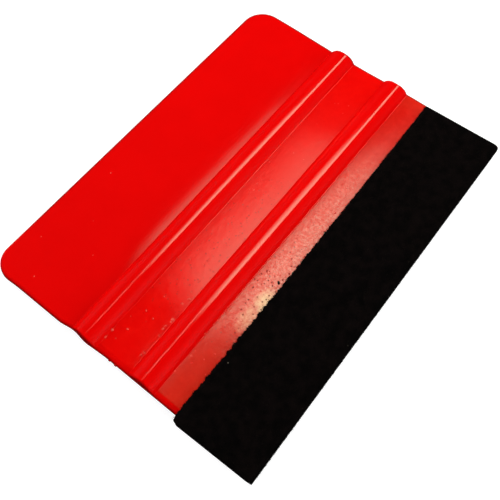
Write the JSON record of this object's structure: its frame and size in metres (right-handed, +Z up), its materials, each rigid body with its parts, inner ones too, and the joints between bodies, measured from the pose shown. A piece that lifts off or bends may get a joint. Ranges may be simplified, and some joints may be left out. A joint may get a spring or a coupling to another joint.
{
  "type": "squeegee applicator",
  "caption": "Flat hand squeegee: a flexible moulded plastic card with grip ribs on both faces and a felt strip folded over its working edge.",
  "frame": {"origin": "centre of the footprint, on the surface that the two lower ribs rest on", "axes": "+X along the working edge, +Y from the felt working edge to the grip edge, +Z up out of the upper face"},
  "size_m": [0.102, 0.0768, 0.0065],
  "materials": {
    "card_plastic": "glossy red polypropylene, satin and slightly pitted between the ribs and the felt",
    "adhesive": "thin translucent pressure-sensitive film",
    "felt": "black pressed felt, short fuzz, cut edges"
  },
  "bodies": {
    "root": {"card": "card_plastic", "adhesive_film": "adhesive", "felt_strip": "felt"}
  },
  "joints": []
}
